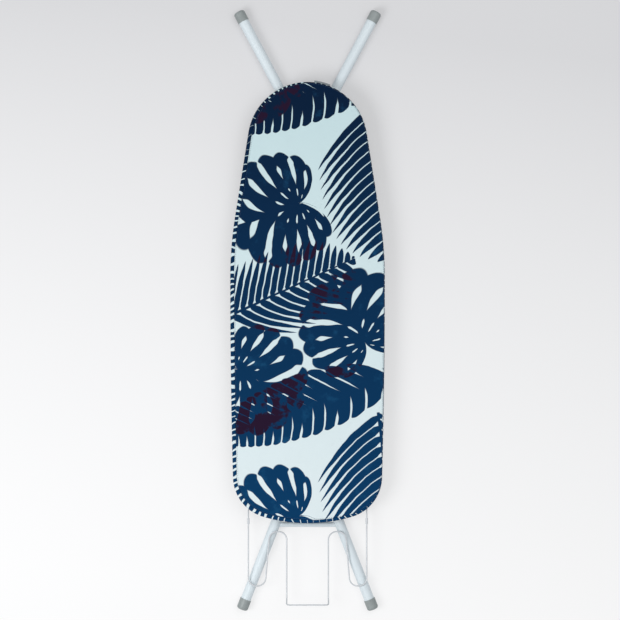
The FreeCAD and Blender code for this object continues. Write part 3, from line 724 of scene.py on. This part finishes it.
def ripple(along, depth, pitch, seed):
    """Uneven puckers along a seam."""
    wave = noise.noise(Vector((along / pitch, seed, 0.0)))
    fine = noise.noise(Vector((along / pitch * 2.3, seed + 7.0, 0.0)))
    return depth * (wave * 0.7 + fine * 0.5)


def turned_out(piece):
    """Points a piece's faces away from the middle of the pad."""
    form = bmesh.new()
    form.from_mesh(piece.data)
    bmesh.ops.recalc_face_normals(form, faces=form.faces)
    outward = 0.0
    for face in form.faces:
        centre = face.calc_center_median()
        inside = spine(centre.xy).to_3d() + Vector((0, 0, PAD_MIDDLE))
        outward += face.calc_area() * face.normal.dot((centre - inside).normalized())
    if outward < 0:
        bmesh.ops.reverse_faces(form, faces=form.faces)
    form.to_mesh(piece.data)
    form.free()
    return piece


def edge_height(inset):
    """Height of the cover's top where it rounds over the board's edge."""
    radius = bpy.context.scene.cover_sizes.edge_radius
    if inset >= radius:
        return SKIRT_HIGH.z
    away = radius - max(inset, 0.0)
    return SKIRT_HIGH.z - radius + math.sqrt(radius ** 2 - away ** 2)


def seam(place, out, along):
    """How far in the sewn seam stands: the panel is pulled a little to one side."""
    sizes = bpy.context.scene.cover_sizes
    pulled = sizes.seam_drift_x * out.x + sizes.seam_drift_y * out.y
    return max(0.0011, sizes.seam_inset - pulled + ripple(along, 0.0004, 0.05, 3.0))


def laid_flat(edge):
    """Width, length and area of a flat piece of cloth, from the points of its cut edge."""
    across = [place.x for place in edge]
    along = [place.y for place in edge]
    area = sum(here.x * there.y - there.x * here.y
               for here, there in zip(edge, edge[1:] + edge[:1])) / 2
    return max(across) - min(across), max(along) - min(along), abs(area)


def broad_swell(spot):
    """Slow rise and fall of the cloth over the pad."""
    slow = noise.noise(Vector((spot.x * 9.0, spot.y * 5.0, 2.0)))
    drag = noise.noise(Vector((spot.x * 26.0, spot.y * 7.0, 9.0)))
    return slow * 0.0005 + drag * 0.00025


class IRONBOARD_OT_pad(Operator):
    """Foam pad: a closed form round the board that swells a little between its faces"""
    bl_idname = "ironboard.pad"
    bl_label = "Foam pad"

    def execute(self, context):
        sizes = context.scene.cover_sizes
        points = outline(240)
        inset = (SKIRT_HIGH.y - PAD_HIGH.y) + sizes.pad_swell
        low, high = PAD_LOW.z, PAD_HIGH.z
        soft = 0.0028
        profile = [(0.05, low), (0.03, low), (0.015, low), (0.006, low), (0.002, low + 0.0006),
                   (0.0, PAD_MIDDLE), (0.0008, high - soft), (0.003, high - 0.0008),
                   (0.008, high - 0.0002), (0.018, high), (0.032, high), (0.05, high)]
        rings = [inner_ring(points, inset + 0.05, step / 9, low) for step in range(9, 0, -1)]
        rings += [ring(points, inset + depth, level) for depth, level in profile]
        rings += [inner_ring(points, inset + 0.05, step / 9, high) for step in range(1, 10)]
        pad = turned_out(lofted("ironing_pad", rings, points, closed=True))
        self.swell(context, pad, sizes.pad_swell)
        finer = pad.modifiers.new("finer", "SUBSURF")
        finer.levels = finer.render_levels = 1
        dress(pad, open_foam("open_foam", context.scene.board_finish.foam), "board",
              "pad_foam", "foam_pad")
        return {"FINISHED"}

    def swell(self, context, pad, most):
        """Blows the foam up as cloth, and keeps each point within the room it has."""
        start = [vertex.co.copy() for vertex in pad.data.vertices]
        cloth = pad.modifiers.new("swell", "CLOTH")
        cloth.settings.use_pressure = True
        cloth.settings.uniform_pressure_force = 4.0
        cloth.settings.effector_weights.gravity = 0.0
        cloth.settings.tension_stiffness = 40.0
        cloth.settings.quality = 6
        for step in range(1, 21):
            context.scene.frame_set(step)
        swollen = pad.evaluated_get(context.evaluated_depsgraph_get())
        ends = [vertex.co.copy() for vertex in swollen.data.vertices]
        pad.modifiers.remove(cloth)
        context.scene.frame_set(1)
        for vertex, rest, end in zip(pad.data.vertices, start, ends):
            move = end - rest
            if move.length > most:
                move *= most / move.length
            vertex.co = rest + move


class IRONBOARD_OT_cover_panel(Operator):
    """Printed top of the cover, drawn over the pad and puckered along its seam"""
    bl_idname = "ironboard.cover_panel"
    bl_label = "Cover panel"

    def execute(self, context):
        sizes = context.scene.cover_sizes
        points = outline(context.scene.studio.rounds)
        rings = []
        for extra in (0.0, 0.0006, 0.0015, 0.003, 0.005, 0.008, 0.012, 0.017, 0.023, 0.030,
                      0.038, 0.048, 0.060):
            def inset(place, out, along):
                return seam(place, out, along) + extra

            def height(place, out, along):
                depth = inset(place, out, along)
                dip = 0.0009 * math.exp(-extra / 0.0011)
                fold = ripple(along, sizes.pucker, 0.013, 1.0) * math.exp(-extra / 0.016)
                fade = min(1.0, extra / 0.03)
                return (edge_height(depth) - dip + fold * min(1.0, extra / 0.003)
                        + broad_swell(place - out * depth) * fade)
            rings.append(ring(points, inset, height))

        def border(place, out, along):
            return seam(place, out, along) + 0.060

        def top(spot):
            return SKIRT_HIGH.z + broad_swell(spot)
        rings += [inner_ring(points, border, step / 16, top) for step in range(1, 17)]
        panel = turned_out(lofted("cover_panel", rings, points))
        thicken(panel, sizes.cloth)
        dress(panel, printed_cotton(context.scene.cover_print), "board", "cover_fabric",
              "cover_top_panel")
        cut = [place - out * seam(place, out, along) for place, out, along in points]
        width, length, area = laid_flat(cut)
        return {"FINISHED"}


class IRONBOARD_OT_cover_strip(Operator):
    """Edge strip of the cover: over the edge, down the side and turned in to a hem"""
    bl_idname = "ironboard.cover_strip"
    bl_label = "Cover strip"

    def execute(self, context):
        sizes = context.scene.cover_sizes
        points = outline(context.scene.studio.rounds)
        top, bottom = SKIRT_HIGH.z, SKIRT_LOW.z
        rings = []
        for part in (0.0, 0.08, 0.2, 0.4, 0.6, 0.78, 0.9, 0.97, 1.0):
            def inset(place, out, along):
                return seam(place, out, along) * (1 - part)

            def height(place, out, along):
                depth = inset(place, out, along)
                from_seam = seam(place, out, along) - depth
                dip = 0.0010 * math.exp(-from_seam / 0.0009)
                fold = ripple(along, sizes.pucker, 0.009, 5.0) * math.sin(part * math.pi)
                return edge_height(depth) - dip + fold * 0.7
            rings.append(ring(points, inset, height))
        side_top = top - sizes.edge_radius
        for part in (0.15, 0.35, 0.6, 0.8, 0.93):
            def inset(place, out, along):
                return max(0.0, ripple(along, sizes.pucker, 0.011, 8.0)) * part
            rings.append(ring(points, inset, side_top + (bottom + 0.0015 - side_top) * part))

        def gathered(depth):
            def height(place, out, along):
                lift = abs(ripple(along, sizes.gather * 2.2, 0.006, 12.0))
                return bottom + lift * min(1.0, depth / 0.012)
            return height
        rings.append(ring(points, 0.0005, bottom + 0.0004))
        for depth in (0.002, 0.005, 0.009, 0.013, 0.017, 0.0192):
            rings.append(ring(points, depth, gathered(depth)))
        casing = ELASTIC_HIGH.z + sizes.cloth + 0.0003
        rings.append(ring(points, sizes.hem_width - 0.0002, bottom + 0.0012))
        rings.append(ring(points, sizes.hem_width - 0.0003, casing - 0.0004))
        rings.append(ring(points, sizes.hem_width - 0.0012, casing))
        rings.append(ring(points, 0.0150, casing))
        rings.append(ring(points, 0.0125, ELASTIC_LOW.z + sizes.cloth + 0.0002))
        strip = turned_out(lofted("cover_strip", rings, points))
        thicken(strip, sizes.cloth)
        dress(strip, banded_cotton(context.scene.cover_print), "board", "binding_fabric",
              "cover_skirt")
        around = points[1][2] * len(points)
        width = sum((there - here).length for before, after in zip(rings, rings[1:])
                    for here, there in zip(before, after)) / len(points)
        return {"FINISHED"}


class IRONBOARD_OT_hem_elastic(Operator):
    """Flat elastic that draws the hem in under the board"""
    bl_idname = "ironboard.hem_elastic"
    bl_label = "Hem elastic"

    def execute(self, context):
        sizes = context.scene.cover_sizes
        points = outline(480)
        outer = sizes.hem_width - 0.006
        inner = sizes.hem_width - 0.0015
        low, high = ELASTIC_LOW.z + 0.0001, ELASTIC_HIGH.z - 0.0001
        corner = 0.0003
        profile = [(outer, low + corner), (outer + corner, low), (inner - corner, low),
                   (inner, low + corner), (inner, high - corner), (inner - corner, high),
                   (outer + corner, high), (outer, high - corner), (outer, low + corner)]
        rings = [ring(points, depth, level) for depth, level in profile]
        band = lofted("hem_elastic_band", rings, points, closed=True)
        finish = context.scene.board_finish
        dress(band, ribbed_tape("knitted_elastic", finish.elastic, 0.0012), "board", "elastic",
              "hem_elastic")
        return {"FINISHED"}


class IRONBOARD_OT_seam_stitches(Operator):
    """Row of stitches beside the cover's seam"""
    bl_idname = "ironboard.seam_stitches"
    bl_label = "Seam stitches"

    def execute(self, context):
        sizes = context.scene.cover_sizes
        around = outline(240)[1][2] * 240
        count = 2 * round(around / (sizes.stitch + sizes.stitch_gap) / 2)
        form = bmesh.new()
        for place, out, along in outline(count):
            depth = seam(place, out, along) + 0.0024
            spot = (place - out * depth).to_3d()
            spot.z = edge_height(depth) + 0.00012 + ripple(along, sizes.pucker, 0.013, 1.0) * 0.69
            along_seam = Vector((out.y, -out.x, 0.0))
            turn = Matrix((along_seam, out.to_3d(), Vector((0, 0, 1)))).transposed().to_4x4()
            shape = Matrix.Diagonal((sizes.stitch, sizes.thread, sizes.thread * 0.8, 1.0))
            bmesh.ops.create_uvsphere(form, u_segments=6, v_segments=4, radius=0.5,
                                      matrix=Matrix.Translation(spot) @ turn @ shape
                                      @ Matrix.Rotation(math.pi / 2, 4, "Y"))
        for face in form.faces:
            face.smooth = True
        bmesh.ops.recalc_face_normals(form, faces=form.faces)
        stitches = finished("seam_stitches", form)
        dress(stitches, sewing_thread("sewing_thread", context.scene.cover_print.thread),
              "board", "cover_fabric")
        return {"FINISHED"}


class IRONBOARD_OT_edge_tab(Operator):
    """Folded woven tab, sewn into the edge seam beside the nose"""
    bl_idname = "ironboard.edge_tab"
    bl_label = "Edge tab"

    def execute(self, context):
        board = context.scene.board_outline
        centre = board.nose_tip - board.nose_radius
        middle = (TAB_LOW.z + TAB_HIGH.z) / 2
        leaf = (TAB_HIGH.z - TAB_LOW.z) / 2 - 0.0002
        reach = context.scene.cover_sizes.tab_reach
        form = bmesh.new()
        layer = form.loops.layers.uv.new("round")
        bmesh.ops.create_grid(form, x_segments=30, y_segments=20, size=0.5)
        for face in form.faces:
            face.smooth = True
            for corner in face.loops:
                corner[layer].uv = ((corner.vert.co.x + 0.5) * (TAB_HIGH.x - TAB_LOW.x),
                                    (corner.vert.co.y + 0.5) * TAB_CUT)
        for vertex in form.verts:
            across = TAB_LOW.x + 0.0006 + (vertex.co.x + 0.5) * (TAB_HIGH.x - TAB_LOW.x - 0.0012)
            turn = vertex.co.y * math.pi * 1.9
            straight = max(0.0, abs(turn) - math.pi / 2) / (math.pi * 0.45)
            out = math.cos(max(-math.pi / 2, min(math.pi / 2, turn))) * leaf
            out += (reach - leaf - 0.0003) - straight * 0.0075
            rise = math.sin(max(-math.pi / 2, min(math.pi / 2, turn))) * leaf
            curl = noise.noise(Vector((across * 60.0, 0.0, 4.0))) * 0.0003
            radius = board.nose_radius + out + curl
            vertex.co = Vector((across, centre + math.sqrt(radius ** 2 - across ** 2),
                                middle + rise))
        bmesh.ops.recalc_face_normals(form, faces=form.faces)
        tab = finished("edge_tab", form)
        thicken(tab, 0.00035)
        # The tape's dark grey is partly painted shade under the folded tab.
        tape = ribbed_tape("woven_tape", context.scene.board_finish.tab, 0.0010)
        dress(tab, tape, "board", "tab_tape", "woven_tab")
        return {"FINISHED"}


class IRONBOARD_OT_hard_finishes(Operator):
    """Paints, plating, coating and moulded plastic of the frame, legs and iron rest"""
    bl_idname = "ironboard.hard_finishes"
    bl_label = "Frame finishes"

    def execute(self, context):
        colours = context.scene.board_finish
        finishes = {
            "frame_paint": powder_coat("frame_powder_coat", colours.frame_paint),
            "mesh_paint": powder_coat("mesh_powder_coat", colours.mesh_paint, 0.5),
            "wire_coating": dipped_coating("wire_dip", colours.wire_coating),
            "zinc_steel": zinc_plating("zinc_plate", colours.plating),
            "grey_plastic": moulded_plastic("grey_moulding", colours.grey_plastic),
            "white_plastic": moulded_plastic("white_moulding", colours.white_plastic, 0.45),
        }
        for node in NODES.values():
            for place in node.material_slots:
                finish = finishes.get(place.material.name.split(".")[0])
                if finish:
                    place.material = finish
        return {"FINISHED"}


class IRONBOARD_OT_studio(Operator):
    """Pale floor with a painted light falloff, soft window light and the camera straight above the
    board
    """
    bl_idname = "ironboard.studio"
    bl_label = "Studio"

    def execute(self, context):
        studio = context.scene.studio
        self.floor()
        self.lamp("window", (-1.8, -0.8, 2.4), (0.0, 0.0, 0.0), 1.7, studio.key_power)
        self.lamp("ceiling", (1.0, 0.7, 3.0), (0.0, 0.1, 0.0), 2.6, studio.fill_power)
        self.world(studio)
        lens = bpy.data.cameras.new("overhead")
        lens.sensor_width = 36.0
        lens.lens = studio.lens
        lens.clip_end = 50.0
        camera = bpy.data.objects.new("overhead", lens)
        camera.location = (0.006, 0.001, studio.camera_height)
        context.scene.collection.objects.link(camera)
        context.scene.camera = camera
        context.scene.view_settings.view_transform = "Standard"
        return {"FINISHED"}

    def floor(self):
        form = bmesh.new()
        bmesh.ops.create_grid(form, x_segments=8, y_segments=8, size=6.0)
        floor = finished("studio_floor", form)
        shader = Shader("studio_floor_paint")
        x, y, _ = shader.split(shader.place)
        # Painted light: the floor's paint runs from darker at the top and right to lighter at the
        # lower left, in place of the window lamp's falloff.
        down = (y * -0.85 - x * 0.10).scaled(-0.60, 0.60, 0.0, 1.0)
        grain = shader.cloud(3.0, 3.0)
        paint = shader.mix(down, (0.58, 0.58, 0.60, 1.0), (0.84, 0.84, 0.85, 1.0))
        paint = shader.mix(grain * 0.04, paint, (0.6, 0.6, 0.6, 1.0))
        matt = shader.make("ShaderNodeBsdfDiffuse", {}, Color=paint)
        glow = shader.make("ShaderNodeEmission", {}, Color=(1.0, 1.0, 1.0, 1.0), Strength=1.0)
        seen = shader.make("ShaderNodeLightPath", {}, output="Is Camera Ray")
        mirrored = shader.make("ShaderNodeLightPath", {}, output="Is Glossy Ray")
        # Painted light: camera and glossy rays also see the floor glow white, more so towards the
        # lower left, which washes out the shadows there.
        share_seen = seen.most(mirrored) * down.scaled(0.0, 1.0, 0.28, 0.66)
        paving = shader.make("ShaderNodeMixShader", {}, share_seen, matt, glow)
        below = shader.make("ShaderNodeNewGeometry", {}, output="Backfacing")
        clear = shader.make("ShaderNodeBsdfTransparent", {})
        shader.make_output(shader.make("ShaderNodeMixShader", {}, below, paving, clear))
        floor.data.materials.append(shader.material)

    def lamp(self, name, place, target, width, power):
        light = bpy.data.lights.new(name, "AREA")
        light.shape = "DISK"
        light.size = width
        light.energy = power
        lamp = bpy.data.objects.new(name, light)
        lamp.location = place
        aim = Vector(target) - Vector(place)
        lamp.rotation_euler = aim.to_track_quat("-Z", "Y").to_euler()
        bpy.context.scene.collection.objects.link(lamp)

    def world(self, studio):
        world = bpy.data.worlds.new("pale_room")
        bpy.context.scene.world = world
        world.use_nodes = True
        tree = world.node_tree
        tree.nodes.clear()
        path = tree.nodes.new("ShaderNodeLightPath")
        seen = tree.nodes.new("ShaderNodeMath")
        seen.operation = "MAXIMUM"
        level = tree.nodes.new("ShaderNodeMapRange")
        level.inputs["To Min"].default_value = studio.world
        level.inputs["To Max"].default_value = 0.92
        glow = tree.nodes.new("ShaderNodeBackground")
        glow.inputs["Color"].default_value = (0.97, 0.985, 1.0, 1.0)
        output = tree.nodes.new("ShaderNodeOutputWorld")
        tree.links.new(path.outputs["Is Camera Ray"], seen.inputs[0])
        tree.links.new(path.outputs["Is Glossy Ray"], seen.inputs[1])
        tree.links.new(seen.outputs[0], level.inputs["Value"])
        tree.links.new(level.outputs[0], glow.inputs["Strength"])
        tree.links.new(glow.outputs[0], output.inputs["Surface"])


class IRONBOARD_PT_sidebar(Panel):
    """Lists the board's sizes, colours and making steps"""
    bl_idname = "IRONBOARD_PT_sidebar"
    bl_label = "Ironing board"
    bl_space_type = "VIEW_3D"
    bl_region_type = "UI"
    bl_category = "Ironing board"

    def draw(self, context):
        for name in GROUPS:
            group = getattr(context.scene, name)
            box = self.layout.box()
            box.label(text=type(group).__name__)
            for key in type(group).__annotations__:
                box.prop(group, key)
        for step in STEPS:
            self.layout.operator(step.bl_idname)


GROUPS = {"board_outline": BoardOutline, "cover_sizes": CoverSizes, "cover_print": CoverPrint,
          "board_finish": BoardFinish, "studio": StudioSettings}
STEPS = (IRONBOARD_OT_studio, IRONBOARD_OT_hard_finishes, IRONBOARD_OT_pad,
         IRONBOARD_OT_cover_panel, IRONBOARD_OT_cover_strip, IRONBOARD_OT_hem_elastic,
         IRONBOARD_OT_seam_stitches, IRONBOARD_OT_edge_tab)
CLASSES = tuple(GROUPS.values()) + STEPS + (IRONBOARD_PT_sidebar,)


def register():
    for item in CLASSES:
        bpy.utils.register_class(item)
    for name, group in GROUPS.items():
        setattr(bpy.types.Scene, name, PointerProperty(type=group))


def unregister():
    for name in GROUPS:
        delattr(bpy.types.Scene, name)
    for item in reversed(CLASSES):
        bpy.utils.unregister_class(item)


def main():
    register()
    for step in STEPS:
        family, name = step.bl_idname.split(".")
        getattr(getattr(bpy.ops, family), name)()


if __name__ == "__main__":
    main()
